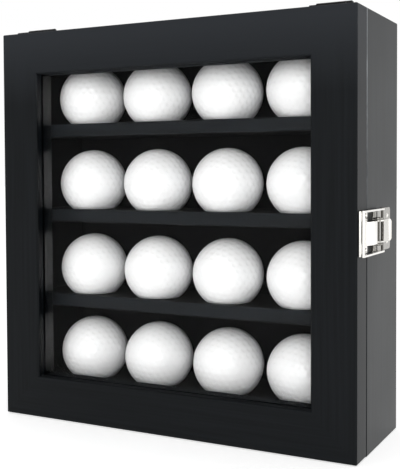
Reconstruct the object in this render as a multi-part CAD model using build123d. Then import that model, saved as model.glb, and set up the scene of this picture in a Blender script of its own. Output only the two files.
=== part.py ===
from build123d import *
import os

# Golf ball display case: a black wooden box with four rows of ball seats, a glazed door that is
# hinged along its top edge, and a toggle latch on the right-hand side.
#
# Millimetres. X runs to the right, Y to the back and Z up. The origin is the middle of the
# underside of the case, on the surface it stands on. The door faces -Y.

# ---------------------------------------------------------------- driving dimensions
# Case body
case_depth = 61.0           # without the door
wall_thickness = 10.0
back_thickness = 4.0
back_recess = 3.0           # from the rear edges of the walls to the back panel
back_rabbet = 5.0           # how far the back panel is let into each wall
rounding = 0.8              # radius on every outer edge
glue_gap = 0.1              # room around a board in its groove
overcut = 1.0               # how far a cut runs on past the face it opens

# Golf balls, and the boards they sit on
ball_diameter = 42.67
column_count = 4
row_count = 4
column_gap = 5.33           # between neighbouring balls of a row
end_room = 11.665           # from a side wall to the nearest ball
headroom = 8.33             # from the top of a ball to the board above it
shelf_thickness = 8.0
bottom_board_thickness = 12.0
shelf_setback = 3.0         # from the front edge of the case to the front edge of a board
shelf_nosing = 1.0          # radius on the front edges of a board
groove_depth = 3.0          # shelf ends housed in the side walls
seat_setback = 17.0         # from the front edge of a board to the middle of a ball
seat_sink = 5.0             # how far the bottom of a ball lies below the top of its board
seat_clearance = 0.25

# Door
door_thickness = 17.0
door_gap = 0.4              # between the closed door and the case
door_floor_gap = 0.5        # below the door
frame_width = 25.5
window_bevel = 0.8          # around the window, on the front
lip_thickness = 5.5         # the wood in front of the pane
pane_thickness = 2.0
pane_rabbet = 6.0           # how far the pane reaches behind the frame
pane_clearance = 0.5        # around the edge of the pane
bead_bevel = 1.2
bead_clearance = 0.1

# Butt hinges on the top edge
hinge_length = 20.0
hinge_end_distance = 8.0    # from the side of the case to the end of a hinge
leaf_depth = 13.0           # from the hinge axis to the far edge of a leaf
leaf_thickness = 1.2
knuckle_count = 3
knuckle_radius = 2.0
knuckle_clearance = 0.3     # between neighbouring knuckles, and under the barrel
hinge_pin_radius = 0.8
pin_fit = 0.05              # radial play of every pin in its hole
pin_head_thickness = 0.6
screw_head_radius = 1.9
screw_head_depth = 1.0
screw_radius = 0.9
screw_length = 8.0
screws_per_leaf = 2
screw_spacing = 11.0
screw_edge = 4.5            # from the far edge of a leaf to its screws

# Toggle latch on the right-hand side
latch_height = 24.2
latch_level = 121.1         # middle of the latch above the surface the case stands on
plate_thickness = 0.8
plate_margin = 0.3          # the plates are this much shorter than the loop, above and below
strike_setback = 1.2        # from the front of the door to the strike
strike_length = 14.0
hook_radius = 0.85
hook_slit = 0.5
nail_head_radius = 1.3
nail_head_height = 0.7
nail_radius = 0.6
nail_length = 7.0
strike_nail_setback = 11.2  # from the front end of the strike
strike_nail_edge = 2.6      # from its upper and lower edges
base_setback = 7.5          # from the front edge of the case to the base plate
base_length = 35.0
base_corner_radius = 2.0
base_rear_nail_edge = 6.5   # from the rear end of the base plate
base_rear_nail_inset = 4.5  # from its upper and lower edges
base_front_nail_setback = 8.5
base_front_nail_inset = 2.2 # from the edges of the lever above them
lever_pin_setback = 2.5     # from the front end of the base plate
lever_pin_height = 3.2      # above the side of the case
lever_pin_radius = 0.8
lever_pin_head_radius = 1.3
ear_radius = 2.3
curl_radius = 1.1
curl_length = 2.8
lever_inset = 6.0           # from the ends of the loop to the edges of the lever
lever_eye_radius = 1.9
lever_top_height = 4.6      # underside of the lever's back above the side of the case
lever_front = 3.1           # from the lever pin to the front edge of the lever's back
lever_reach = 12.9          # from the lever pin to the start of the finger lift
finger_length = 3.5
finger_rise = 0.8
finger_slant = 0.15         # the tip is cut back by this much on its outer side
finger_corner_radius = 2.4
side_play = 0.4             # between the lever and the ears
loop_pin_distance = 10.0    # from the lever pin to the loop pin
loop_pin_height = 2.6
loop_pin_radius = 0.7
loop_pin_head_radius = 1.1
rivet_head_thickness = 0.4  # of both latch pins
loop_eye_radius = 1.3
loop_arm = 1.0
loop_bar_width = 2.0
loop_bar_thickness = 1.3
loop_bar_rounding = 0.6
hook_play = 0.4             # between the loop's bar and the hook
web_length = 16.3
web_root = 0.65             # from the middle of the bar to the start of the web
web_crown = 2.0             # how far the web bulges above the bar

# Hangers and nails on the back
hanger_length = 44.0
hanger_height = 7.0
hanger_thickness = 0.8
hanger_standoff = 1.6
hanger_tooth = 2.0
hanger_teeth = 9
hanger_edge_gap = 0.3       # below the upper edge of the recess in the back
hanger_nail_rise = 1.0      # above the middle of the strip, into the wood of the top panel
hanger_end_distance = 30.0  # from the side of the case to the middle of a hanger
hanger_foot = 7.0           # length of each flat end
brad_head_radius = 1.0
brad_head_height = 0.5
brad_radius = 0.5
brad_length = 9.0
brads_along_side = 4
brads_along_top = 3
brad_low_rise = 2.0         # from the top of the lowest board to the lowest side brads
brad_high_rise = 32.0       # from the top of the highest board to the highest side brads
brad_end_distance = 24.0    # from the sides of the case to the outer brads of the top and bottom

# ---------------------------------------------------------------- places worked out from them
column_pitch = ball_diameter + column_gap
row_pitch = ball_diameter - seat_sink + headroom + shelf_thickness
row_length = (column_count - 1) * column_pitch + ball_diameter
rows_height = bottom_board_thickness + row_count * row_pitch - shelf_thickness
case_width = row_length + 2 * (end_room + wall_thickness)
case_height = rows_height + 2 * wall_thickness
case_front = -case_depth / 2
case_back = case_depth / 2
door_back = case_front - door_gap
door_front = door_back - door_thickness
door_bottom = door_floor_gap
door_top = case_height
side_face = case_width / 2
inner_half = case_width / 2 - wall_thickness
panel_back = case_back - back_recess
inner_back = panel_back - back_thickness
board_front = case_front + shelf_setback
ball_radius = ball_diameter / 2
ball_y = board_front + seat_setback
board_tops = [wall_thickness + bottom_board_thickness + row_pitch * row for row in range(row_count)]
column_places = [column_pitch * (column - (column_count - 1) / 2) for column in range(column_count)]

hinge_axis_y = (case_front + door_back) / 2
hinge_axis_z = case_height + knuckle_clearance + knuckle_radius
hinge_middle = case_width / 2 - hinge_end_distance - hinge_length / 2
screw_distance = leaf_depth - screw_edge

lever_width = latch_height - 2 * lever_inset
plate_half = latch_height / 2 - plate_margin
strike_front = door_front + strike_setback
base_front = case_front + base_setback
base_back = base_front + base_length
lever_pin_y = base_front + lever_pin_setback
loop_pin_y = lever_pin_y + loop_pin_distance
ear_inner = lever_width / 2 + side_play
bar_height = 2 * hook_radius + hook_play     # underside of the loop's bar above the side face

recess_top = case_height - wall_thickness + back_rabbet
hanger_z = recess_top - hanger_edge_gap - hanger_height / 2
hanger_x = case_width / 2 - hanger_end_distance


# ---------------------------------------------------------------- small helpers
def block(x_range, y_range, z_range):
    """Rectangular solid between three pairs of limits."""
    sizes = [high - low for low, high in (x_range, y_range, z_range)]
    middle = [(high + low) / 2 for low, high in (x_range, y_range, z_range)]
    return Pos(*middle) * Box(*sizes)


def rod(start, direction, radius, length):
    """Round bar that starts at a point and runs along a direction."""
    ends = (Align.CENTER, Align.CENTER, Align.MIN)
    return Plane(origin=start, z_dir=direction) * Cylinder(radius, length, align=ends)


def domed_nail(seat, direction, head_radius, head_height, radius, length):
    """Nail whose flat-bottomed domed head lies on a seat; the shank runs along the direction."""
    shank = Polyline((0, head_height), (0, -length), (radius, -length), (radius, 0), (head_radius, 0))
    dome = TangentArc((0, head_height), (head_radius, 0), tangent=(1, 0))
    nail = revolve(Plane.XZ * make_face(shank + dome), Axis.Z)
    return Plane(origin=seat, z_dir=Vector(*direction) * -1) * nail


def brad(seat):
    """Short flat-headed nail driven forwards into the back of the case."""
    head = rod(seat, (0, 1, 0), brad_head_radius, brad_head_height)
    return head + rod(seat, (0, -1, 0), brad_radius, brad_length)


def side_profile(sketch, z_low, z_high):
    """Thickness between two heights for a flat outline drawn in the X-Y plane."""
    return Pos(0, 0, z_low) * extrude(sketch, z_high - z_low)


def outward(height, y):
    """Point in the X-Y plane at a height above the right-hand side of the case."""
    return (side_face + height, y)


# ---------------------------------------------------------------- fastener places
screw_seats = {}
for side_name, side in (("left", -1), ("right", 1)):
    for half_name, half in (("door", -1), ("case", 1)):
        seats = []
        for index in range(screws_per_leaf):
            along = (index - (screws_per_leaf - 1) / 2) * screw_spacing
            x = side * hinge_middle + along
            seats.append((x, hinge_axis_y + half * screw_distance, case_height + leaf_thickness))
        screw_seats[half_name, side_name] = seats

nail_seat_x = side_face + plate_thickness
strike_nails = []
base_nails = []
for up in (-1, 1):
    strike_z = latch_level + up * (plate_half - strike_nail_edge)
    rear_z = latch_level + up * (plate_half - base_rear_nail_inset)
    front_z = latch_level + up * (lever_width / 2 - base_front_nail_inset)
    strike_nails.append((nail_seat_x, strike_front + strike_nail_setback, strike_z))
    base_nails.append((nail_seat_x, base_back - base_rear_nail_edge, rear_z))
    base_nails.append((nail_seat_x, base_front + base_front_nail_setback, front_z))

brad_inset = wall_thickness - back_rabbet / 2
brads = []
lowest_brad = board_tops[0] + brad_low_rise
highest_brad = board_tops[-1] + brad_high_rise
for index in range(brads_along_side):
    z = lowest_brad + (highest_brad - lowest_brad) * index / (brads_along_side - 1)
    for side in (-1, 1):
        brads.append((side * (case_width / 2 - brad_inset), panel_back, z))
for index in range(brads_along_top):
    span = case_width - 2 * brad_end_distance
    x = -span / 2 + span * index / (brads_along_top - 1)
    brads += [(x, panel_back, brad_inset), (x, panel_back, case_height - brad_inset)]

hanger_nails = []
for side in (-1, 1):
    for end in (-1, 1):
        x = side * hanger_x + end * (hanger_length - hanger_foot) / 2
        hanger_nails.append((x, panel_back + hanger_thickness, hanger_z + hanger_nail_rise))


def drilled(solid, seats, direction, radius, length):
    """Solid with a pilot hole at each seat."""
    for seat in seats:
        solid -= rod(seat, direction, radius + pin_fit, length + pin_fit)
    return solid


# ---------------------------------------------------------------- case body
def softened_box(y_range, z_range):
    """Outer form of the case or the door, with every edge rounded over."""
    solid = block((-case_width / 2, case_width / 2), y_range, z_range)
    return fillet(solid.edges(), rounding)


def case_walls():
    """Two full-height sides with the top and bottom between them, cut from one rounded block."""
    blank = softened_box((case_front, case_back), (0, case_height))
    recess_half = inner_half + back_rabbet
    recess = block(
        (-recess_half, recess_half),
        (inner_back, case_back + overcut),
        (wall_thickness - back_rabbet, case_height - wall_thickness + back_rabbet),
    )
    blank -= recess
    blank = drilled(blank, brads, (0, -1, 0), brad_radius, brad_length)
    depth = (case_front - overcut, case_back + overcut)
    height = (-overcut, case_height + overcut)
    left = blank & block((-case_width, -inner_half), depth, height)
    right = blank & block((inner_half, case_width), depth, height)
    between = (-inner_half, inner_half)
    bottom = blank & block(between, depth, (-overcut, wall_thickness))
    top = blank & block(between, depth, (case_height - wall_thickness, case_height + overcut))
    for board_top in board_tops[1:]:
        groove = block(
            (-inner_half - groove_depth - glue_gap, inner_half + groove_depth + glue_gap),
            (board_front - glue_gap, inner_back),
            (board_top - shelf_thickness - glue_gap, board_top + glue_gap),
        )
        left -= groove
        right -= groove
    top = drilled(top, hanger_nails, (0, -1, 0), brad_radius, brad_length)
    for side_name in ("left", "right"):
        seats = screw_seats["case", side_name]
        top = drilled(top, seats, (0, 0, -1), screw_radius, screw_length)
        left = drilled(left, seats, (0, 0, -1), screw_radius, screw_length)
        right = drilled(right, seats, (0, 0, -1), screw_radius, screw_length)
    right = drilled(right, base_nails, (-1, 0, 0), nail_radius, nail_length)
    return {"side_left": left, "side_right": right, "top_panel": top, "bottom_panel": bottom}


def back_panel():
    """Thin board let into the back of the walls, deep enough for the hangers to lie within them."""
    half = inner_half + back_rabbet - glue_gap
    low = wall_thickness - back_rabbet + glue_gap
    panel = block((-half, half), (inner_back, panel_back), (low, case_height - low))
    panel = drilled(panel, brads, (0, -1, 0), brad_radius, brad_length)
    return drilled(panel, hanger_nails, (0, -1, 0), brad_radius, brad_length)


def seat_board(board_top, thickness, half_length):
    """Board with a round nosing and one hollow for each ball of its row."""
    ends = (-half_length, half_length)
    board = block(ends, (board_front, inner_back), (board_top - thickness, board_top))
    front_edges = board.faces().sort_by(Axis.Y)[0].edges().filter_by(Axis.X)
    board = fillet(front_edges, shelf_nosing)
    for x in column_places:
        hollow = Sphere(ball_radius + seat_clearance)
        board -= Pos(x, ball_y, board_top - seat_sink + ball_radius) * hollow
    return board


# ---------------------------------------------------------------- door
def mitred(ring):
    """Four members of a frame, cut apart at 45 degrees through its corners."""
    half = case_width / 2
    members = {}
    corners = {
        "left": [(-half, door_bottom), (-half, door_top)],
        "right": [(half, door_bottom), (half, door_top)],
        "top": [(-half, door_top), (half, door_top)],
        "bottom": [(-half, door_bottom), (half, door_bottom)],
    }
    reach = 2 * frame_width
    for name, (start, end) in corners.items():
        outline = [start, end]
        for x, z in (end, start):
            inward_x = reach if x < 0 else -reach
            inward_z = reach if z == door_bottom else -reach
            outline.append((x + inward_x, z + inward_z))
        face = Plane.XZ * make_face(Polyline(*outline, close=True))
        wedge = extrude(face, case_depth + door_thickness, both=True)
        members[name] = ring & wedge
    return members


def window_block(margin, y_range):
    """Block as large as the window, or larger by a margin all round."""
    half = case_width / 2 - frame_width + margin
    low = door_bottom + frame_width - margin
    high = door_top - frame_width + margin
    return block((-half, half), y_range, (low, high))


def door_frame():
    """Flat frame, rebated behind the window for the pane and its beads."""
    ring = softened_box((door_front, door_back), (door_bottom, door_top))
    ring -= window_block(0, (door_front - overcut, door_back + overcut))
    window_edges = ring.faces().sort_by(Axis.Y)[0].inner_wires()[0].edges()
    ring = chamfer(window_edges, window_bevel)
    ring -= window_block(pane_rabbet, (door_front + lip_thickness, door_back + overcut))
    for side_name in ("left", "right"):
        ring = drilled(ring, screw_seats["door", side_name], (0, 0, -1), screw_radius, screw_length)
    ring = drilled(ring, strike_nails, (-1, 0, 0), nail_radius, nail_length)
    members = mitred(ring)
    return {
        "door_stile_left": members["left"],
        "door_stile_right": members["right"],
        "door_rail_top": members["top"],
        "door_rail_bottom": members["bottom"],
    }


def door_pane():
    """Clear sheet that lies against the lip of the frame."""
    front = door_front + lip_thickness
    return window_block(pane_rabbet - pane_clearance, (front, front + pane_thickness))


def glazing_beads():
    """Square strips that hold the pane, flush with the window and the back of the door."""
    depth = (door_front + lip_thickness + pane_thickness, door_back - bead_clearance)
    ring = window_block(pane_rabbet - bead_clearance, depth)
    ring -= window_block(0, (depth[0] - overcut, depth[1] + overcut))
    back_edges = ring.faces().sort_by(Axis.Y)[-1].inner_wires()[0].edges()
    ring = chamfer(back_edges, bead_bevel)
    return {"glazing_bead_" + name: member for name, member in mitred(ring).items()}


# ---------------------------------------------------------------- hinges
def hinge_leaf(side, half):
    """Leaf of a butt hinge: half is -1 on the door and 1 on the case."""
    middle = side * hinge_middle
    knuckle_pitch = hinge_length / knuckle_count
    y_far = hinge_axis_y + half * leaf_depth
    y_near = hinge_axis_y + half * (knuckle_radius + 2 * knuckle_clearance)
    leaf_z = (case_height, case_height + leaf_thickness)
    ends = (middle - hinge_length / 2, middle + hinge_length / 2)
    leaf = block(ends, sorted((y_far, y_near)), leaf_z)
    far_corners = leaf.edges().filter_by(Axis.Z).sort_by_distance((middle, y_far, case_height))[:2]
    leaf = fillet(far_corners, leaf_thickness)
    own_first = 0 if half > 0 else 1
    for index in range(own_first, knuckle_count, 2):
        low = ends[0] + index * knuckle_pitch + knuckle_clearance / 2
        high = low + knuckle_pitch - knuckle_clearance
        leaf += rod((low, hinge_axis_y, hinge_axis_z), (1, 0, 0), knuckle_radius, high - low)
        leaf += block((low, high), sorted((hinge_axis_y, y_near)), leaf_z)
    bore_start = (ends[0] - overcut, hinge_axis_y, hinge_axis_z)
    leaf -= rod(bore_start, (1, 0, 0), hinge_pin_radius + pin_fit, hinge_length + 2 * overcut)
    return leaf


def countersunk(seat, play):
    """Wood screw driven straight down, or the countersunk hole for it."""
    x, y, z = seat
    taper = (Align.CENTER, Align.CENTER, Align.MAX)
    head = Cone(screw_radius + play, screw_head_radius + play, screw_head_depth, align=taper)
    shank = rod((x, y, z - screw_head_depth / 2), (0, 0, -1), screw_radius + play,
                screw_length - screw_head_depth / 2)
    return Pos(x, y, z) * head + shank


def hinge_pin(side):
    """Steel pin with a flat head at each end of the barrel."""
    start_x = side * hinge_middle - hinge_length / 2 + knuckle_clearance / 2
    length = hinge_length - knuckle_clearance
    pin = rod((start_x, hinge_axis_y, hinge_axis_z), (1, 0, 0), hinge_pin_radius, length)
    head_radius = (knuckle_radius + hinge_pin_radius) / 2
    for x in (start_x - pin_head_thickness, start_x + length):
        pin += rod((x, hinge_axis_y, hinge_axis_z), (1, 0, 0), head_radius, pin_head_thickness)
    return pin


# ---------------------------------------------------------------- toggle latch
latch_low = latch_level - latch_height / 2
latch_high = latch_level + latch_height / 2


def nail_holes(plate, seats):
    """Plate with a hole for each nail."""
    for seat in seats:
        start = (seat[0] + overcut, seat[1], seat[2])
        plate -= rod(start, (-1, 0, 0), nail_radius + pin_fit, plate_thickness + 2 * overcut)
    return plate


def latch_strike():
    """Plate on the edge of the door, with its front edge rolled into a hook."""
    heights = (latch_level - plate_half, latch_level + plate_half)
    plate = block(
        (side_face, side_face + plate_thickness),
        (strike_front + hook_radius, strike_front + strike_length),
        heights,
    )
    rear_corners = plate.edges().filter_by(Axis.X).group_by(Axis.Y)[-1]
    plate = fillet(rear_corners, base_corner_radius)
    roll_middle = outward(hook_radius, strike_front + hook_radius)
    roll = Pos(*roll_middle) * (Circle(hook_radius) - Circle(hook_radius - hook_slit))
    slit_middle = outward(hook_radius + hook_slit, strike_front)
    roll -= Pos(*slit_middle) * Rectangle(hook_slit, 2 * hook_slit)
    return nail_holes(plate + side_profile(roll, *heights), strike_nails)


def latch_base():
    """Plate on the side of the case, with two ears for the lever pin and two curled front edges."""
    plate = block(
        (side_face, side_face + plate_thickness),
        (base_front, base_back),
        (latch_level - plate_half, latch_level + plate_half),
    )
    rear_corners = plate.edges().filter_by(Axis.X).group_by(Axis.Y)[-1]
    base = fillet(rear_corners, base_corner_radius)
    pin_middle = outward(lever_pin_height, lever_pin_y)
    ear_foot_middle = outward(lever_pin_height / 2, lever_pin_y)
    ear = Pos(*pin_middle) * Circle(ear_radius)
    ear += Pos(*ear_foot_middle) * Rectangle(lever_pin_height, 2 * ear_radius)
    curl_middle = outward(curl_radius, base_front + curl_radius)
    curl = Pos(*curl_middle) * (Circle(curl_radius) - Circle(curl_radius - plate_thickness))
    curl -= Pos(*outward(2 * curl_radius, base_front + 2 * curl_radius)) * Rectangle(
        2 * curl_radius, 2 * curl_radius)
    for up in (-1, 1):
        ear_z = sorted(latch_level + up * (ear_inner + edge) for edge in (0, plate_thickness))
        base += side_profile(ear, *ear_z)
        curl_start = ear_inner + plate_thickness + side_play
        curl_z = sorted(latch_level + up * (curl_start + edge) for edge in (0, curl_length))
        base += side_profile(curl, *curl_z)
    pin_start = (*pin_middle, latch_low)
    base -= rod(pin_start, (0, 0, 1), lever_pin_radius + pin_fit, latch_height)
    return nail_holes(base, base_nails)


def headed_pin(middle, half_length, radius, head_radius):
    """Rivet along Z: a plain shank with a flat head beyond each end."""
    low = latch_level - half_length
    pin = rod((*middle, low), (0, 0, 1), radius, 2 * half_length)
    pin += rod((*middle, low - rivet_head_thickness), (0, 0, 1), head_radius, rivet_head_thickness)
    pin += rod((*middle, low + 2 * half_length), (0, 0, 1), head_radius, rivet_head_thickness)
    return pin


def latch_lever():
    """Pressed channel: two cheeks that carry both pins, a flat back and a flared finger lift."""
    back_y = (lever_pin_y + lever_front, lever_pin_y + lever_reach)
    back_x = (side_face + lever_top_height, side_face + lever_top_height + plate_thickness)
    widths = (latch_level - lever_width / 2, latch_level + lever_width / 2)
    lever = block(back_x, back_y, widths)
    eye = Pos(*outward(lever_pin_height, lever_pin_y)) * Circle(lever_eye_radius)
    link = Pos(*outward(loop_pin_height, loop_pin_y)) * Circle(loop_eye_radius)
    nose = Pos(*outward(lever_top_height + plate_thickness / 2, back_y[1])) * Rectangle(
        plate_thickness, plate_thickness)
    shoulder = Pos(*outward(lever_top_height + plate_thickness / 2, back_y[0])) * Rectangle(
        plate_thickness, plate_thickness, align=(Align.CENTER, Align.MIN))
    cheek = make_hull(eye.edges() + link.edges() + nose.edges() + shoulder.edges())
    for edge in (widths[0], widths[1] - plate_thickness):
        lever += side_profile(cheek, edge, edge + plate_thickness)
    lift_start = (back_x[0], back_y[1] - plate_thickness)
    lift_end = (back_x[0] + finger_rise, back_y[1] + finger_length)
    curve = TangentArc(lift_start, lift_end, tangent=(0, 1))
    outer_start = (back_x[1], lift_start[1])
    outer_end = (lift_end[0] + plate_thickness, lift_end[1] - finger_slant)
    outer_curve = TangentArc(outer_start, outer_end, tangent=(0, 1))
    outline = curve + Line(lift_end, outer_end) + outer_curve + Line(outer_start, lift_start)
    lift = side_profile(make_face(outline), *widths)
    tab = block((side_face, outer_end[0] + overcut), (lift_start[1], lift_end[1]), widths)
    tip_corners = tab.edges().filter_by(Axis.X).group_by(Axis.Y)[-1]
    lever += lift & fillet(tip_corners, finger_corner_radius)
    for pin_y, height, radius in (
        (lever_pin_y, lever_pin_height, lever_pin_radius),
        (loop_pin_y, loop_pin_height, loop_pin_radius),
    ):
        start = (*outward(height, pin_y), latch_low)
        lever -= rod(start, (0, 0, 1), radius + pin_fit, latch_height)
    return lever


def latch_loop():
    """Pressed loop: a bar that catches on the hook, two arms, and a crowned web as wide as the lever."""
    bar_middle_y = strike_front + hook_radius
    bar_middle = outward(bar_height + loop_bar_thickness / 2, bar_middle_y)
    bar = Pos(*bar_middle) * RectangleRounded(
        loop_bar_thickness, loop_bar_width, loop_bar_rounding)
    loop = side_profile(bar, latch_low, latch_high)
    eye = Pos(*outward(loop_pin_height, loop_pin_y)) * Circle(loop_eye_radius)
    arm = make_hull(eye.edges() + bar.edges())
    for edge in (latch_low, latch_high - loop_arm):
        loop += side_profile(arm, edge, edge + loop_arm)
    web_low = bar_height + loop_bar_thickness - plate_thickness
    web_start = bar_middle_y + web_root
    web_end = bar_middle_y + web_length
    web_middle = (web_start + web_end) / 2
    under = ThreePointArc(
        outward(web_low, web_start),
        outward(web_low + web_crown, web_middle),
        outward(web_low + web_crown, web_end),
    )
    over = ThreePointArc(
        outward(web_low + plate_thickness, web_start),
        outward(web_low + web_crown + plate_thickness, web_middle),
        outward(web_low + web_crown + plate_thickness, web_end),
    )
    outline = under + Line(under @ 1, over @ 1) + over + Line(over @ 0, under @ 0)
    web = make_face(outline)
    loop += side_profile(web, latch_level - lever_width / 2, latch_level + lever_width / 2)
    start = (*outward(loop_pin_height, loop_pin_y), latch_low - overcut)
    loop -= rod(start, (0, 0, 1), loop_pin_radius + pin_fit, latch_height + 2 * overcut)
    return loop


# ---------------------------------------------------------------- hangers on the back
def hanger(side):
    """Thin steel strip, nailed at both ends, whose toothed middle stands off for a wall nail."""
    half = hanger_length / 2
    foot = half - hanger_foot
    bow = foot - 2 * hanger_standoff
    lift = hanger_standoff
    near_line = [(-half, 0), (-foot, 0), (-bow, lift), (bow, lift), (foot, 0), (half, 0)]
    far_line = [(x, y + hanger_thickness) for x, y in reversed(near_line)]
    outline = Polyline(*near_line, *far_line, close=True)
    low = hanger_z - hanger_height / 2
    middle_x = side * hanger_x
    strip = Pos(middle_x, panel_back, low) * extrude(make_face(outline), hanger_height)
    tooth_pitch = 2 * bow / hanger_teeth
    for index in range(hanger_teeth):
        x = middle_x - bow + tooth_pitch * (index + 0.5)
        notch = Plane.XZ * make_face(Polyline(
            (x - tooth_pitch / 2, low - overcut),
            (x - tooth_pitch / 2, low),
            (x, low + hanger_tooth),
            (x + tooth_pitch / 2, low),
            (x + tooth_pitch / 2, low - overcut),
            close=True,
        ))
        strip -= extrude(notch, case_depth, both=True)
    seats = [(x, y + overcut, z) for x, y, z in hanger_nails]
    return drilled(strip, seats, (0, -1, 0), brad_radius, hanger_thickness + 2 * overcut)


# ---------------------------------------------------------------- all the pieces
pieces = case_walls()
pieces["back_panel"] = back_panel()
board_names = ["bottom_board", "shelf_lower", "shelf_middle", "shelf_upper"]
pieces["bottom_board"] = seat_board(board_tops[0], bottom_board_thickness, inner_half - glue_gap)
for name, board_top in zip(board_names[1:], board_tops[1:]):
    pieces[name] = seat_board(board_top, shelf_thickness, inner_half + groove_depth)
for row, board_top in enumerate(board_tops):
    for column, x in enumerate(column_places):
        ball = Pos(x, ball_y, board_top - seat_sink + ball_radius) * Sphere(ball_radius)
        pieces[f"ball_row{row + 1}_{column + 1}"] = ball

pieces.update(door_frame())
pieces["door_pane"] = door_pane()
pieces.update(glazing_beads())

for side_name, side in (("left", -1), ("right", 1)):
    for half_name, half in (("door", -1), ("case", 1)):
        leaf = hinge_leaf(side, half)
        for seat in screw_seats[half_name, side_name]:
            leaf -= countersunk(seat, pin_fit)
        pieces[f"hinge_{side_name}_{half_name}_leaf"] = leaf
    pieces[f"hinge_{side_name}_pin"] = hinge_pin(side)
for half_name in ("door", "case"):
    seats = screw_seats[half_name, "left"] + screw_seats[half_name, "right"]
    pieces[f"hinge_screws_{half_name}"] = Compound([countersunk(seat, 0) for seat in seats])

pieces["latch_strike"] = latch_strike()
pieces["latch_base"] = latch_base()
pieces["latch_lever"] = latch_lever()
pieces["latch_loop"] = latch_loop()
lever_pin_half = ear_inner + plate_thickness
pieces["latch_lever_pin"] = headed_pin(
    outward(lever_pin_height, lever_pin_y), lever_pin_half, lever_pin_radius, lever_pin_head_radius)
pieces["latch_loop_pin"] = headed_pin(
    outward(loop_pin_height, loop_pin_y), latch_height / 2, loop_pin_radius, loop_pin_head_radius)
for name, seats in (("latch_strike_nails", strike_nails), ("latch_base_nails", base_nails)):
    nails = [
        domed_nail(seat, (-1, 0, 0), nail_head_radius, nail_head_height, nail_radius, nail_length)
        for seat in seats
    ]
    pieces[name] = Compound(nails)

for name, seats in (("back_brads", brads), ("hanger_nails", hanger_nails)):
    pieces[name] = Compound([brad(seat) for seat in seats])
pieces["hanger_left"] = hanger(-1)
pieces["hanger_right"] = hanger(1)

os.makedirs("parts", exist_ok=True)
for name, piece in pieces.items():
    export_step(piece, f"parts/{name}.step")
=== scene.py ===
import math

import bmesh
import bpy
from mathutils import Matrix, Vector


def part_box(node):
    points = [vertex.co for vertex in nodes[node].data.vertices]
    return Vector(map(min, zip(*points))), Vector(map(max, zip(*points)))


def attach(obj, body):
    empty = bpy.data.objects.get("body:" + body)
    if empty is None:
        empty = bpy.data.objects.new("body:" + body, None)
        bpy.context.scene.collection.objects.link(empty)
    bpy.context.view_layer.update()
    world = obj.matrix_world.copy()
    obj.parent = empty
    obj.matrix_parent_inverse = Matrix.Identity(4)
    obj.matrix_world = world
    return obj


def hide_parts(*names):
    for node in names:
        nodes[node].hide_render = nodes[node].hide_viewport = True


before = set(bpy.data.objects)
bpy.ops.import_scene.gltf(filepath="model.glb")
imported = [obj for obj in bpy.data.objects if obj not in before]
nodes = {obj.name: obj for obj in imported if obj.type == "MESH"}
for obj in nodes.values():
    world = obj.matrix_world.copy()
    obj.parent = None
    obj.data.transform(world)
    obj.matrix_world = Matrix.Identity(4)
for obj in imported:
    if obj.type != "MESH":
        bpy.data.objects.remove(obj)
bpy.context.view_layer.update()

# ---------------------------------------------------------------- case walls
# Two sides with a top and a bottom glued between them, solid wood sprayed satin black after
# gluing. The coats are thin, so the wood's long pores still show as faint ridges along each board.


def linear(hex_colour):
    """The linear colour of an sRGB hex value, as a shader socket takes it."""
    shares = [int(hex_colour[start:start + 2], 16) / 255 for start in (1, 3, 5)]
    curve = [s / 12.92 if s <= 0.04045 else ((s + 0.055) / 1.055) ** 2.4 for s in shares]
    return (*curve, 1.0)


def node(tree, kind, inputs=None, **settings):
    """One node of a tree. Its inputs go by name or number, as values or as sockets to link."""
    made = tree.nodes.new(kind)
    for name, value in settings.items():
        setattr(made, name, value)
    for key, value in (inputs or {}).items():
        if isinstance(value, bpy.types.NodeSocket):
            tree.links.new(value, made.inputs[key])
        else:
            made.inputs[key].default_value = value
    return made


def new_material(name):
    """An empty material, its node tree and its output node."""
    material = bpy.data.materials.new(name)
    material.use_nodes = True
    material.node_tree.nodes.clear()
    output = node(material.node_tree, "ShaderNodeOutputMaterial")
    return material, material.node_tree, output


def finish_nodes(names, material):
    """Gives CAD pieces their finish, in every material slot they have."""
    for name in names:
        piece = nodes[name]
        if not piece.data.materials:
            piece.data.materials.append(material)
        for index in range(len(piece.material_slots)):
            piece.material_slots[index].link = "OBJECT"
            piece.material_slots[index].material = material


def share_in_box(tree, place, corners):
    """Share, 0 or 1, of a surface that lies between the two corners of a box."""
    low, high = corners
    middle = [(a + b) / 2 for a, b in zip(low, high)]
    half = [(b - a) / 2 for a, b in zip(low, high)]
    off = node(tree, "ShaderNodeVectorMath", {0: place, 1: middle}, operation="SUBTRACT")
    off = node(tree, "ShaderNodeVectorMath", {0: off.outputs[0]}, operation="ABSOLUTE")
    past = node(tree, "ShaderNodeVectorMath", {0: off.outputs[0], 1: half}, operation="SUBTRACT")
    part = node(tree, "ShaderNodeSeparateXYZ", {0: past.outputs[0]}).outputs
    most = node(tree, "ShaderNodeMath", {0: part["X"], 1: part["Y"]}, operation="MAXIMUM")
    most = node(tree, "ShaderNodeMath", {0: most.outputs[0], 1: part["Z"]}, operation="MAXIMUM")
    within = node(tree, "ShaderNodeMath", {0: most.outputs[0], 1: 0.0}, operation="LESS_THAN")
    return within.outputs[0]


def long_grain(tree, place, axis, width, length, **noise):
    """Noise drawn out along one axis, as wood, brush marks and rolled metal have it."""
    stretch = [1 / width] * 3
    stretch["XYZ".index(axis)] = 1 / length
    along = node(tree, "ShaderNodeMapping", {"Vector": place, "Scale": stretch})
    return node(tree, "ShaderNodeTexNoise", {
        "Vector": along.outputs[0], "Scale": 1.0, **noise}).outputs["Fac"]


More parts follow.
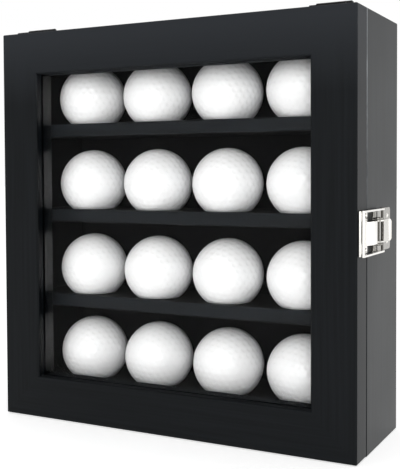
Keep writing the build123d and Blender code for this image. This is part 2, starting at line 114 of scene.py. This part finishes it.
# places on the case that the paint knows, as heights and as corners of boxes
case_height = 0.24
top_sheen_heights = (0.195, 0.235)      # the painted sheen grows from the one height to the other
inside_flat_coat_and_shade = ((-0.1052, -0.0264, 0.0098), (0.1052, 0.03, 0.2302))
window_edges = ((-0.0897, -0.0485, 0.0257), (0.0897, -0.029, 0.2147))
arris_highlight_heights = (0.1335, 0.21)     # from just above the latch to where the painted highlight is strongest
arris_highlight_box = ((0.1138, -0.0309, arris_highlight_heights[0]), (0.1153, -0.0299, 0.2398))


def black_satin_paint(name, grain_along, colours, roughness, edge_roughness, gloss=0.1):
    """Sprayed satin lacquer on wood. It gives the eye near black with a soft sheen, faint streaks
    and pores along the grain, and a greyer top, which is a painted sheen. The inside of the case
    has a flat black coat without the sheen, its colour darkened as painted shade in the box, and
    the edges round the window have their own roughness. Above the latch the case's front arris
    carries a painted highlight. The colours are for full coat, soaked coat and the painted top
    sheen, the roughnesses for foot and top."""
    material, tree, output = new_material(name)
    place = node(tree, "ShaderNodeTexCoord").outputs["Object"]
    level = node(tree, "ShaderNodeSeparateXYZ", {0: place}).outputs["Z"]
    flat_and_shaded_inside = share_in_box(tree, place, inside_flat_coat_and_shade)

    pores = long_grain(tree, place, grain_along, width=0.0007, length=0.035, Detail=3.0)
    ridges = node(tree, "ShaderNodeBump", {"Height": pores, "Strength": 0.35, "Distance": 0.00004})
    # spray leaves an orange-peel skin with this much from hump to hump
    peel_pitch = 0.0015
    peel = node(tree, "ShaderNodeTexNoise", {
        "Vector": place, "Scale": 1 / peel_pitch, "Detail": 1.0})
    skin = node(tree, "ShaderNodeBump", {
        "Height": peel.outputs["Fac"], "Strength": 0.25, "Distance": 0.00003,
        "Normal": ridges.outputs["Normal"]})

    # broad patches, where the coat is a little thicker or thinner, and so smoother or rougher
    patch_width = 0.06
    patches = node(tree, "ShaderNodeTexNoise", {
        "Vector": place, "Scale": 1 / patch_width, "Detail": 2.0})
    uneven = node(tree, "ShaderNodeMapRange", {
        "Value": patches.outputs["Fac"], "To Min": -0.05, "To Max": 0.05})
    # the spray dries a little rougher towards the top
    drier = node(tree, "ShaderNodeMapRange", {
        "Value": level, "From Min": 0.0, "From Max": case_height, "To Min": roughness[0],
        "To Max": roughness[1]})
    sheen = node(tree, "ShaderNodeMath", {0: drier.outputs[0], 1: uneven.outputs[0]})
    first_coat_roughness = 0.9
    sheen = node(tree, "ShaderNodeMix", {
        "Factor": flat_and_shaded_inside, 2: sheen.outputs[0], 3: first_coat_roughness})
    sheen = node(tree, "ShaderNodeMix", {
        "Factor": share_in_box(tree, place, window_edges), 2: sheen.outputs[0], 3: edge_roughness})

    # streaks of harder and softer wood drink more or less of the paint. They are drawn 2 mm apart,
    # coarser than real ones, so that they show
    streaks = long_grain(
        tree, place, grain_along, width=0.002, length=0.09, Detail=2.0, Roughness=0.6)
    soaked = node(tree, "ShaderNodeMapRange", {"Value": streaks, "From Min": 0.3, "From Max": 0.7})
    coat = node(tree, "ShaderNodeMix", {
        "Factor": soaked.outputs[0], 6: linear(colours[0]), 7: linear(colours[1])},
        data_type="RGBA")
    # painted sheen: the colour turns greyer along the top, where a lamp's sheen falls on the top
    # rail
    painted_top_sheen = node(tree, "ShaderNodeMapRange", {
        "Value": level, "From Min": top_sheen_heights[0], "From Max": top_sheen_heights[1]})
    coat = node(tree, "ShaderNodeMix", {
        "Factor": painted_top_sheen.outputs[0], 6: coat.outputs[2], 7: linear(colours[2])}, data_type="RGBA")
    # painted shade: the inside of the case is coloured darker, #070707, than the paint outside, and
    # its coat is also flat
    coat = node(tree, "ShaderNodeMix", {
        "Factor": flat_and_shaded_inside, 6: coat.outputs[2], 7: linear("#070707")}, data_type="RGBA")
    # painted highlight: above the latch the case's front arris is coloured pale grey, in broken
    # lengths about a centimetre long that fade on the way down, for the bright line along the seam
    highlight_break_length = 0.012
    highlight_fade = node(tree, "ShaderNodeMapRange", {
        "Value": level, "From Min": arris_highlight_heights[0], "From Max": arris_highlight_heights[1], "To Min": 0.35})
    highlight_breaks = node(tree, "ShaderNodeTexNoise", {
        "Vector": place, "Scale": 1 / highlight_break_length, "Detail": 3.0})
    highlight_break_share = node(tree, "ShaderNodeMapRange", {
        "Value": highlight_breaks.outputs["Fac"], "From Min": 0.35, "From Max": 0.65, "To Min": 0.5})
    painted_highlight_strength = node(tree, "ShaderNodeMath", {
        0: highlight_fade.outputs[0], 1: highlight_break_share.outputs[0]}, operation="MULTIPLY")
    painted_arris_highlight = node(tree, "ShaderNodeMath", {
        0: share_in_box(tree, place, arris_highlight_box), 1: painted_highlight_strength.outputs[0]}, operation="MULTIPLY")
    coat = node(tree, "ShaderNodeMix", {
        "Factor": painted_arris_highlight.outputs[0], 6: coat.outputs[2], 7: linear("#b0b4b7")}, data_type="RGBA")

    paint = node(tree, "ShaderNodeBsdfPrincipled", {
        "Base Color": coat.outputs[2], "Roughness": sheen.outputs[0], "IOR": 1.5,
        "Specular IOR Level": gloss, "Normal": skin.outputs["Normal"]})
    tree.links.new(paint.outputs[0], output.inputs["Surface"])
    return material


# Satin black lacquer: a cool black whose sheen opens up where it is seen at a slant.
# The flatting agent in it leaves a fifth of the mirror light of a gloss coat.
# the third colour of each paint is for its top, a painted sheen
paint_upright = black_satin_paint(
    "black_satin_paint_upright_grain", "Z", colours=("#101315", "#1c2124", "#171b1e"),
    roughness=(0.32, 0.44), edge_roughness=0.9)
paint_across = black_satin_paint(
    "black_satin_paint_level_grain", "X", colours=("#0d1012", "#191d21", "#181c20"),
    roughness=(0.34, 0.44), edge_roughness=0.9)
finish_nodes(["side_left", "side_right"], paint_upright)
finish_nodes(["top_panel", "bottom_panel"], paint_across)

# ---------------------------------------------------------------- back panel and its brads
# Thin hardboard, brushed matt black, let into the back and held by flat-headed steel brads that
# are driven into the four walls.

# Matt black brushed on hardboard: upright brush marks, a shade lighter and darker, and no sheen.
# They are drawn 2.5 mm wide, coarser than bristles leave them, so that they show.
hardboard, tree, output = new_material("matt_black_hardboard")
place = node(tree, "ShaderNodeTexCoord").outputs["Object"]
fibres = long_grain(tree, place, "Z", width=0.0025, length=0.05, Detail=4.0)
bare_share = node(tree, "ShaderNodeMapRange", {"Value": fibres, "From Min": 0.35, "From Max": 0.65})
mottle = node(tree, "ShaderNodeMix", {
    "Factor": bare_share.outputs[0], 6: linear("#060607"), 7: linear("#151517")}, data_type="RGBA")
felted = node(tree, "ShaderNodeBump", {"Height": fibres, "Strength": 0.5, "Distance": 0.00008})
board = node(tree, "ShaderNodeBsdfPrincipled", {
    "Base Color": mottle.outputs[2], "Roughness": 0.9, "IOR": 1.5, "Specular IOR Level": 0.08,
    "Normal": felted.outputs["Normal"]})
tree.links.new(board.outputs[0], output.inputs["Surface"])
finish_nodes(["back_panel"], hardboard)


def drawn_metal(name, colour, roughness, streak, streak_depth):
    """Bare or plated metal that keeps fine streaks from its making. The streaks' width and depth
    are in metres, and they are twelve times as long as wide."""
    material, tree, output = new_material(name)
    place = node(tree, "ShaderNodeTexCoord").outputs["Object"]
    streaks = long_grain(tree, place, "Z", width=streak, length=streak * 12, Detail=2.0)
    relief = node(tree, "ShaderNodeBump", {
        "Height": streaks, "Strength": 0.3, "Distance": streak_depth})
    # along one streak the shine is sharper, along the next more blurred
    shine = node(tree, "ShaderNodeMapRange", {
        "Value": streaks, "To Min": roughness * 0.8, "To Max": roughness * 1.25})
    metal = node(tree, "ShaderNodeBsdfPrincipled", {
        "Base Color": linear(colour), "Metallic": 1.0, "Roughness": shine.outputs[0],
        "Normal": relief.outputs["Normal"]})
    tree.links.new(metal.outputs[0], output.inputs["Surface"])
    return material


# Dull wire steel: grey nail heads with a blurred shine, seen only from behind.
bright_steel = drawn_metal(
    "dull_wire_steel", "#8a8986", roughness=0.42, streak=0.0003, streak_depth=0.00001)
finish_nodes(["back_brads", "hanger_nails"], bright_steel)

# ---------------------------------------------------------------- boards for the balls
# Four boards of the same wood and paint: three shelves glued into grooves in the sides and one
# laid on the bottom. Each has a rounded front edge and four turned hollows, where balls lie loose.
finish_nodes(
    ["bottom_board", "shelf_lower", "shelf_middle", "shelf_upper"], paint_across)

# ---------------------------------------------------------------- golf balls
# Sixteen moulded balls of white ionomer, lacquered, each lying loose in its hollow. 362 shallow
# dimples lie on an icosahedral pattern, and each ball is turned its own way in its seat.

# White lacquered cover: light goes a few millimetres into it, which softens the dimples and the
# dark side, and the clear lacquer adds small sharp lights.
lacquered_cover, tree, output = new_material("white_lacquered_ball_cover")
place = node(tree, "ShaderNodeTexCoord").outputs["Object"]
cloud_width = 0.012
cloud = node(tree, "ShaderNodeTexNoise", {"Vector": place, "Scale": 1 / cloud_width, "Detail": 2.0})
white = node(tree, "ShaderNodeMix", {
    "Factor": cloud.outputs["Fac"], 6: linear("#f2f3f5"), 7: linear("#f9f9fb")}, data_type="RGBA")
cover = node(tree, "ShaderNodeBsdfPrincipled", {
    "Base Color": white.outputs[2], "Roughness": 0.32, "IOR": 1.5,
    "Subsurface Weight": 1.0, "Subsurface Radius": (1.0, 1.0, 1.0), "Subsurface Scale": 0.007,
    "Coat Weight": 0.4, "Coat Roughness": 0.1, "Coat IOR": 1.5})
tree.links.new(cover.outputs[0], output.inputs["Surface"])


def input_socket(group, name, kind, value):
    """A named input of a geometry tree, with its usual value. Returns the socket's identifier."""
    socket = group.interface.new_socket(name, in_out="INPUT", socket_type=kind)
    socket.default_value = value
    return socket.identifier


dimple_radius = 0.00185
dimple_depth = 0.00028


def dimpled_ball_tree():
    """Geometry tree of one ball: a fine sphere pressed in around each dimple's middle."""
    group = bpy.data.node_groups.new("dimpled_ball", "GeometryNodeTree")
    sockets = {
        "radius": input_socket(group, "Ball radius", "NodeSocketFloat", 0.021335),
        "dimple": input_socket(group, "Dimple radius", "NodeSocketFloat", dimple_radius),
        "depth": input_socket(group, "Dimple depth", "NodeSocketFloat", dimple_depth),
        "middle": input_socket(group, "Middle", "NodeSocketVector", (0.0, 0.0, 0.0)),
        "seed": input_socket(group, "Seed", "NodeSocketInt", 1),
        "cover": group.interface.new_socket(
            "Cover", in_out="INPUT", socket_type="NodeSocketMaterial").identifier,
    }
    group.interface.new_socket("Geometry", in_out="OUTPUT", socket_type="NodeSocketGeometry")
    given = node(group, "NodeGroupInput").outputs
    # 42 corners, two points on each of 120 edges and one on each of 80 faces make 362
    coarse = node(group, "GeometryNodeMeshIcoSphere", {
        "Radius": 1.0, "Subdivisions": 2}).outputs["Mesh"]
    ends = node(group, "GeometryNodeInputMeshEdgeVertices").outputs
    sets = [node(group, "GeometryNodeMeshToPoints", {"Mesh": coarse}, mode="VERTICES"),
            node(group, "GeometryNodeMeshToPoints", {"Mesh": coarse}, mode="FACES")]
    for share in (1 / 3, 2 / 3):
        between = node(group, "ShaderNodeMix", {
            "Factor": share, 4: ends["Position 1"], 5: ends["Position 2"]}, data_type="VECTOR")
        sets.append(node(group, "GeometryNodeMeshToPoints", {
            "Mesh": coarse, "Position": between.outputs[1]}, mode="EDGES"))
    joined = node(group, "GeometryNodeJoinGeometry")
    for points in sets:
        group.links.new(points.outputs[0], joined.inputs[0])
    where = node(group, "GeometryNodeInputPosition").outputs[0]
    outward = node(group, "ShaderNodeVectorMath", {0: where}, operation="NORMALIZE").outputs[0]
    on_ball = node(group, "ShaderNodeVectorMath", {
        0: outward, "Scale": given["Ball radius"]}, operation="SCALE").outputs[0]
    middles = node(group, "GeometryNodeSetPosition", {
        "Geometry": joined.outputs[0], "Position": on_ball}).outputs[0]
    fine = node(group, "GeometryNodeMeshIcoSphere", {
        "Radius": given["Ball radius"], "Subdivisions": 7}).outputs["Mesh"]
    nearest = node(group, "GeometryNodeProximity", {0: middles}, target_element="POINTS")
    share = node(group, "ShaderNodeMath", {
        0: nearest.outputs["Distance"], 1: given["Dimple radius"]}, operation="DIVIDE").outputs[0]
    # flat-bottomed bowl with a soft rim: full depth in the middle, none at the edge
    bowl = node(group, "ShaderNodeMapRange", {
        "Value": share, "From Min": 0.15, "From Max": 1.0, "To Min": 1.0, "To Max": 0.0},
        interpolation_type="SMOOTHSTEP").outputs[0]
    pressed = node(group, "ShaderNodeMath", {
        0: bowl, 1: given["Dimple depth"]}, operation="MULTIPLY").outputs[0]
    height = node(group, "ShaderNodeMath", {
        0: given["Ball radius"], 1: pressed}, operation="SUBTRACT").outputs[0]
    surface = node(group, "ShaderNodeVectorMath", {0: outward, "Scale": height}, operation="SCALE")
    dimpled = node(group, "GeometryNodeSetPosition", {
        "Geometry": fine, "Position": surface.outputs[0]}).outputs[0]
    turn = node(group, "FunctionNodeRandomValue", {
        0: (0.0, 0.0, 0.0), 1: (math.tau, math.tau, math.tau), "Seed": given["Seed"], "ID": 0},
        data_type="FLOAT_VECTOR").outputs[0]
    seated = node(group, "GeometryNodeTransform", {
        "Geometry": dimpled, "Translation": given["Middle"], "Rotation": turn}).outputs[0]
    smooth = node(group, "GeometryNodeSetShadeSmooth", {0: seated}).outputs[0]
    real = node(group, "GeometryNodeRealizeInstances", {0: smooth}).outputs[0]
    covered = node(group, "GeometryNodeSetMaterial", {
        "Geometry": real, "Material": given["Cover"]}).outputs[0]
    result = node(group, "NodeGroupOutput")
    group.links.new(covered, result.inputs[0])
    return group, sockets


def grown(name, group, values):
    """Plain mesh piece that a geometry tree makes, its inputs set before it is first worked out."""
    holder = bpy.data.objects.new(name, bpy.data.meshes.new(name))
    bpy.context.scene.collection.objects.link(holder)
    modifier = holder.modifiers.new("make", "NODES")
    modifier.node_group = group
    for identifier, value in values.items():
        modifier[identifier] = value
    holder.update_tag()
    evaluated = holder.evaluated_get(bpy.context.evaluated_depsgraph_get())
    mesh = bpy.data.meshes.new_from_object(evaluated)
    holder.modifiers.remove(modifier)
    holder.data = mesh
    mesh.name = name
    return holder


first_seed = 11
ball_tree, ball_inputs = dimpled_ball_tree()
ball_names = sorted(name for name in nodes if name.startswith("ball_row"))
for number, name in enumerate(ball_names):
    low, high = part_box(name)
    ball = grown("dimpled_" + name, ball_tree, {
        ball_inputs["radius"]: (high.x - low.x) / 2,
        ball_inputs["dimple"]: dimple_radius,
        ball_inputs["depth"]: dimple_depth,
        ball_inputs["middle"]: (low + high) / 2,
        ball_inputs["seed"]: first_seed + number,
        ball_inputs["cover"]: lacquered_cover,
    })
    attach(ball, "case")
    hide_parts(name)

# ---------------------------------------------------------------- door frame and glazing beads
# Two stiles and two rails of solid wood, mitred, glued and sprayed, with four small mitred beads
# glued in behind the pane. The frame hangs from the hinges on its top rail.

# Satin black lacquer, rougher than the case's: the front stays an even near black, greyer along
# the top as a painted sheen, with streaks and pores that run along each member.
# the third colour, for the top, is a painted sheen, much greyer than the rest
door_colours = ("#0e1113", "#171a1d", "#2e3135")
door_upright = black_satin_paint(
    "black_satin_door_paint_upright_grain", "Z", door_colours, roughness=(0.38, 0.54),
    edge_roughness=0.16)
door_across = black_satin_paint(
    "black_satin_door_paint_level_grain", "X", door_colours, roughness=(0.38, 0.54),
    edge_roughness=0.9)
finish_nodes(["door_stile_left", "door_stile_right"], door_upright)
finish_nodes(["door_rail_top", "door_rail_bottom"], door_across)
# Gloss black on the upright beads: they mirror the balls beside them as pale upright glints.
bead_upright = black_satin_paint(
    "black_gloss_bead_paint", "Z", colours=("#07090b", "#0d1012", "#0d1012"),
    roughness=(0.16, 0.16), edge_roughness=0.16, gloss=0.5)
finish_nodes(["glazing_bead_left", "glazing_bead_right"], bead_upright)
finish_nodes(["glazing_bead_top", "glazing_bead_bottom"], door_across)

# ---------------------------------------------------------------- pane
# A clear polished sheet, 2 mm thick, cut to size and held in the frame's rebate by the beads
# alone. It has no holes and no fixings of its own.

# Clear coated sheet: all but unseen, since it mirrors under a hundredth of the light, and it bends
# what lies behind by a hair. Lamps shine straight through it, so the balls are fully lit.
clear_sheet, tree, output = new_material("clear_polished_sheet")
place = node(tree, "ShaderNodeTexCoord").outputs["Object"]
wave_length = 0.09
waves = node(tree, "ShaderNodeTexNoise", {"Vector": place, "Scale": 1 / wave_length, "Detail": 0.0})
float_waves = node(tree, "ShaderNodeBump", {
    "Height": waves.outputs["Fac"], "Strength": 0.1, "Distance": 0.00005})
sheet = node(tree, "ShaderNodeBsdfPrincipled", {
    "Base Color": linear("#fefefe"), "Roughness": 0.0, "IOR": 1.1, "Transmission Weight": 1.0,
    "Normal": float_waves.outputs["Normal"]})
open_to_lamps = node(tree, "ShaderNodeBsdfTransparent")
rays = node(tree, "ShaderNodeLightPath")
either = node(tree, "ShaderNodeMixShader", {
    0: rays.outputs["Is Shadow Ray"], 1: sheet.outputs[0], 2: open_to_lamps.outputs[0]})
tree.links.new(either.outputs[0], output.inputs["Surface"])
finish_nodes(["door_pane"], clear_sheet)

# ---------------------------------------------------------------- hinges
# Two butt hinges of pressed steel, each with a pin through its knuckles, lacquered black and
# stoved. Two countersunk cross-recess screws hold each leaf to the door's or the case's top.

# Stoved black lacquer on steel: flat-looking black, smoother than the wood's paint.
stoved_black, tree, output = new_material("black_stoved_lacquer_on_steel")
place = node(tree, "ShaderNodeTexCoord").outputs["Object"]
flow_pitch = 0.001
flow = node(tree, "ShaderNodeTexNoise", {"Vector": place, "Scale": 1 / flow_pitch, "Detail": 1.0})
lacquer_skin = node(tree, "ShaderNodeBump", {
    "Height": flow.outputs["Fac"], "Strength": 0.2, "Distance": 0.00002})
lacquer = node(tree, "ShaderNodeBsdfPrincipled", {
    "Base Color": linear("#0a0a0b"), "Roughness": 0.4, "IOR": 1.5, "Specular IOR Level": 0.15,
    "Normal": lacquer_skin.outputs["Normal"]})
tree.links.new(lacquer.outputs[0], output.inputs["Surface"])
for side in ("left", "right"):
    finish_nodes(
        [f"hinge_{side}_door_leaf", f"hinge_{side}_case_leaf", f"hinge_{side}_pin"],
        stoved_black)


head_radius = 0.0019
leaf_step = 0.011           # between the two screws of a leaf


def cross_screw_tree():
    """Geometry tree of a body's hinge screws: domed countersunk heads, each cut with a cross and
    left at its own angle, two to a leaf."""
    group = bpy.data.node_groups.new("countersunk_cross_screws", "GeometryNodeTree")
    sockets = {
        "head": input_socket(group, "Head radius", "NodeSocketFloat", head_radius),
        "depth": input_socket(group, "Head depth", "NodeSocketFloat", 0.001),
        "rise": input_socket(group, "Dome rise", "NodeSocketFloat", 0.0003),
        "shank": input_socket(group, "Shank radius", "NodeSocketFloat", 0.0009),
        "start": input_socket(group, "Shank start", "NodeSocketFloat", 0.0006),
        "length": input_socket(group, "Shank length", "NodeSocketFloat", 0.0074),
        "cross": input_socket(group, "Cross size", "NodeSocketVector", (0.0024, 0.00055, 0.0016)),
        "first": input_socket(group, "First seat", "NodeSocketVector", (0.0, 0.0, 0.0)),
        "along": input_socket(
            group, "Step along a leaf", "NodeSocketVector", (leaf_step, 0.0, 0.0)),
        "apart": input_socket(group, "Step between hinges", "NodeSocketVector", (0.194, 0.0, 0.0)),
        "seed": input_socket(group, "Seed", "NodeSocketInt", 1),
        "finish": group.interface.new_socket(
            "Finish", in_out="INPUT", socket_type="NodeSocketMaterial").identifier,
    }
    group.interface.new_socket("Geometry", in_out="OUTPUT", socket_type="NodeSocketGeometry")
    given = node(group, "NodeGroupInput").outputs
    down = node(group, "ShaderNodeMath", {
        0: given["Head depth"], 1: -1.0}, operation="MULTIPLY").outputs[0]
    cone = node(group, "GeometryNodeMeshCone", {
        "Vertices": 40, "Radius Top": given["Head radius"], "Radius Bottom": given["Shank radius"],
        "Depth": given["Head depth"]}).outputs["Mesh"]
    sunk = node(group, "GeometryNodeTransform", {
        "Geometry": cone,
        "Translation": node(group, "ShaderNodeCombineXYZ", {"Z": down}).outputs[0]}).outputs[0]
    # the dome stops a hair short of the head's rim
    dome_share = 0.97
    dome_radius = node(group, "ShaderNodeMath", {
        0: given["Head radius"], 1: dome_share}, operation="MULTIPLY").outputs[0]
    ball = node(group, "GeometryNodeMeshUVSphere", {
        "Segments": 40, "Rings": 16, "Radius": dome_radius}).outputs["Mesh"]
    flatness = node(group, "ShaderNodeMath", {
        0: given["Dome rise"], 1: dome_radius}, operation="DIVIDE").outputs[0]
    dome = node(group, "GeometryNodeTransform", {
        "Geometry": ball, "Scale": node(group, "ShaderNodeCombineXYZ", {
            "X": 1.0, "Y": 1.0, "Z": flatness}).outputs[0]}).outputs[0]
    rod = node(group, "GeometryNodeMeshCylinder", {
        "Vertices": 24, "Radius": given["Shank radius"],
        "Depth": given["Shank length"]}).outputs["Mesh"]
    half_down = node(group, "ShaderNodeMath", {
        0: given["Shank length"], 1: -0.5}, operation="MULTIPLY").outputs[0]
    start = node(group, "ShaderNodeMath", {
        0: half_down, 1: given["Shank start"]}, operation="SUBTRACT").outputs[0]
    shank = node(group, "GeometryNodeTransform", {
        "Geometry": rod,
        "Translation": node(group, "ShaderNodeCombineXYZ", {"Z": start}).outputs[0]}).outputs[0]
    whole = node(group, "GeometryNodeMeshBoolean", operation="UNION", solver="EXACT")
    for part in (sunk, dome, shank):
        group.links.new(part, whole.inputs["Mesh 2"])
    cut = node(group, "GeometryNodeMeshBoolean", {
        "Mesh 1": whole.outputs["Mesh"]}, operation="DIFFERENCE", solver="EXACT")
    slot = node(group, "GeometryNodeMeshCube", {"Size": given["Cross size"]}).outputs["Mesh"]
    other = node(group, "GeometryNodeTransform", {
        "Geometry": slot, "Rotation": (0.0, 0.0, math.pi / 2)}).outputs[0]
    for part in (slot, other):
        group.links.new(part, cut.inputs["Mesh 2"])
    leaf_seats = node(group, "GeometryNodeMeshLine", {
        "Count": 2, "Start Location": given["First seat"], "Offset": given["Step along a leaf"]})
    hinges = node(group, "GeometryNodeMeshLine", {
        "Count": 2, "Offset": given["Step between hinges"]})
    seats = node(group, "GeometryNodeInstanceOnPoints", {
        "Points": hinges.outputs[0], "Instance": leaf_seats.outputs[0]}).outputs[0]
    seats = node(group, "GeometryNodeRealizeInstances", {0: seats}).outputs[0]
    angle = node(group, "FunctionNodeRandomValue", {
        0: (0.0, 0.0, 0.0), 1: (0.0, 0.0, math.tau), "Seed": given["Seed"]},
        data_type="FLOAT_VECTOR").outputs[0]
    driven = node(group, "GeometryNodeInstanceOnPoints", {
        "Points": seats, "Instance": cut.outputs["Mesh"], "Rotation": angle}).outputs[0]
    real = node(group, "GeometryNodeRealizeInstances", {0: driven}).outputs[0]
    finished = node(group, "GeometryNodeSetMaterial", {
        "Geometry": real, "Material": given["Finish"]}).outputs[0]
    result = node(group, "NodeGroupOutput")
    group.links.new(finished, result.inputs[0])
    return group, sockets


screw_tree, screw_inputs = cross_screw_tree()
for body, seed in (("door", 3), ("case", 4)):
    low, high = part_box(f"hinge_screws_{body}")
    span = high.x - low.x - 2 * head_radius
    screws = grown(f"cross_screws_{body}", screw_tree, {
        screw_inputs["head"]: head_radius,
        screw_inputs["first"]: (low.x + head_radius, (low.y + high.y) / 2, high.z),
        screw_inputs["along"]: (leaf_step, 0.0, 0.0),
        screw_inputs["apart"]: (span - leaf_step, 0.0, 0.0),
        screw_inputs["seed"]: seed,
        screw_inputs["finish"]: stoved_black,
    })
    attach(screws, body)
    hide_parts(f"hinge_screws_{body}")

# ---------------------------------------------------------------- toggle latch
# Pressed steel, nickel plated: a hook plate nailed to the door, and on the case a base plate whose
# lever turns on one pin and carries the wire-like loop on another. Domed nails hold both plates.

# Bright nickel: a slightly warm mirror, for the hook plate and the loop.
bright_nickel = drawn_metal(
    "bright_nickel_plate", "#e0deda", roughness=0.12, streak=0.0005, streak_depth=0.00002)
finish_nodes(["latch_strike", "latch_loop"], bright_nickel)
# The same nickel on the lever, greyer and a little more blurred: the grey is painted shade, a
# dimmer reflection than the hook's.
lever_nickel_painted_grey = drawn_metal(
    "handled_nickel_plate", "#bcbab5", roughness=0.2, streak=0.0005, streak_depth=0.00003)
finish_nodes(["latch_lever"], lever_nickel_painted_grey)
# The same nickel on the base plate, darker and duller: the dark colour is a painted dark reflection
# of the dark surroundings the plate mirrors.
base_nickel_painted_dark = drawn_metal(
    "barrel_plated_nickel", "#8b8984", roughness=0.24, streak=0.0005, streak_depth=0.00003)
finish_nodes(["latch_base"], base_nickel_painted_dark)
# Pin steel in dark grey: painted shade that dims the pins' highlights, so their ends read as dots.
pin_steel_painted_dark = drawn_metal(
    "dull_pin_steel", "#5e5c58", roughness=0.35, streak=0.0003, streak_depth=0.00002)
finish_nodes(["latch_lever_pin", "latch_loop_pin"], pin_steel_painted_dark)
# Plated nail heads: bright domes that catch one small light each.
plated_steel = drawn_metal(
    "plated_nail_steel", "#e2e0db", roughness=0.12, streak=0.0004, streak_depth=0.00001)
finish_nodes(["latch_strike_nails", "latch_base_nails"], plated_steel)

# ---------------------------------------------------------------- hanging strips
# Two strips of zinc-plated steel, pressed so that their toothed middles stand off the back. Their
# flat ends are nailed through the panel into the top, and a wall nail catches between the teeth.

# Bright zinc: cool grey with a broad soft shine.
zinc = drawn_metal(
    "bright_zinc_plate", "#b4b6b8", roughness=0.34, streak=0.0006, streak_depth=0.00002)
finish_nodes(["hanger_left", "hanger_right"], zinc)

# ---------------------------------------------------------------- floor, light and camera
# A white studio sweep. It shows as plain white to the eye and to glossy surfaces, and still takes
# the case's soft shadow.


def looked_at(tree):
    """1 for what the eye sees, straight, mirrored or through the pane, and 0 for cast light."""
    rays = node(tree, "ShaderNodeLightPath").outputs
    seen = node(tree, "ShaderNodeMath", {
        0: rays["Is Camera Ray"], 1: rays["Is Glossy Ray"]}, operation="MAXIMUM").outputs[0]
    return node(tree, "ShaderNodeMath", {
        0: seen, 1: rays["Is Transmission Ray"]}, operation="MAXIMUM").outputs[0]


# White paper: matt, with just enough glow of its own to stay white to the eye and in mirrors.
floor_reach = 6.0
floor_mesh = bpy.data.meshes.new("floor")
shape = bmesh.new()
bmesh.ops.create_grid(shape, x_segments=1, y_segments=1, size=floor_reach)
shape.to_mesh(floor_mesh)
shape.free()
floor = bpy.data.objects.new("floor", floor_mesh)
bpy.context.scene.collection.objects.link(floor)
paper, tree, output = new_material("white_studio_paper")
matt = node(tree, "ShaderNodeBsdfPrincipled", {
    "Base Color": linear("#ffffff"), "Roughness": 0.9, "Specular IOR Level": 0.0})
paper_glow = 0.56
lift = node(tree, "ShaderNodeMath", {
    0: looked_at(tree), 1: paper_glow}, operation="MULTIPLY").outputs[0]
glow = node(tree, "ShaderNodeEmission", {"Color": (1.0, 1.0, 1.0, 1.0), "Strength": lift})
lit_paper = node(tree, "ShaderNodeAddShader", {0: matt.outputs[0], 1: glow.outputs[0]})
tree.links.new(lit_paper.outputs[0], output.inputs["Surface"])
floor_mesh.materials.append(paper)

# White room: it shows as white as the paper, and gives a little over half of that as light.
world = bpy.data.worlds.new("studio")
bpy.context.scene.world = world
world.use_nodes = True
tree = world.node_tree
tree.nodes.clear()
room_light = 0.57
sky = node(tree, "ShaderNodeBackground", {
    "Color": (1.0, 1.0, 1.0, 1.0), "Strength": room_light})
shown = node(tree, "ShaderNodeBackground", {"Color": (1.0, 1.0, 1.0, 1.0), "Strength": 1.0})
which = node(tree, "ShaderNodeMixShader", {
    0: looked_at(tree), 1: sky.outputs[0], 2: shown.outputs[0]})
node(tree, "ShaderNodeOutputWorld", {"Surface": which.outputs[0]})


def soft_lamp(name, place, aim, size, power):
    """Square softbox at a place, turned to a point."""
    light = bpy.data.lights.new(name, "AREA")
    light.size = size
    light.energy = power
    lamp = bpy.data.objects.new(name, light)
    lamp.location = place
    lamp.rotation_euler = (Vector(aim) - Vector(place)).to_track_quat("-Z", "Y").to_euler()
    bpy.context.scene.collection.objects.link(lamp)


# one lamp near the camera, which reaches deepest round the balls, and one for the latch side
soft_lamp("front_softbox", (0.5, -1.7, 0.45), aim=(0.0, 0.0, 0.12), size=0.9, power=6.6)
soft_lamp("side_softbox", (1.2, 1.3, 0.2), aim=(0.1, 0.0, 0.12), size=0.9, power=4.5)

# a long lens at the right front, looking a little down, with the case shifted to mid-frame
sight = bpy.data.cameras.new("camera")
sight.sensor_width = 36.0
sight.lens = 68.227
sight.shift_x = 0.0219
sight.shift_y = -0.0759
camera = bpy.data.objects.new("camera", sight)
bpy.context.scene.collection.objects.link(camera)
bpy.context.scene.camera = camera
yaw, pitch, roll = (math.radians(angle) for angle in (27.846, -1.928, -0.284))
turned = Matrix.Rotation(yaw, 4, "Z") @ Matrix.Rotation(math.pi / 2 + pitch, 4, "X")
turned = turned @ Matrix.Rotation(roll, 4, "Z")
eye_place = (0.25204, -0.49147, 0.15517)
camera.matrix_world = Matrix.Translation(eye_place) @ turned

bpy.context.scene.view_settings.view_transform = "Standard"
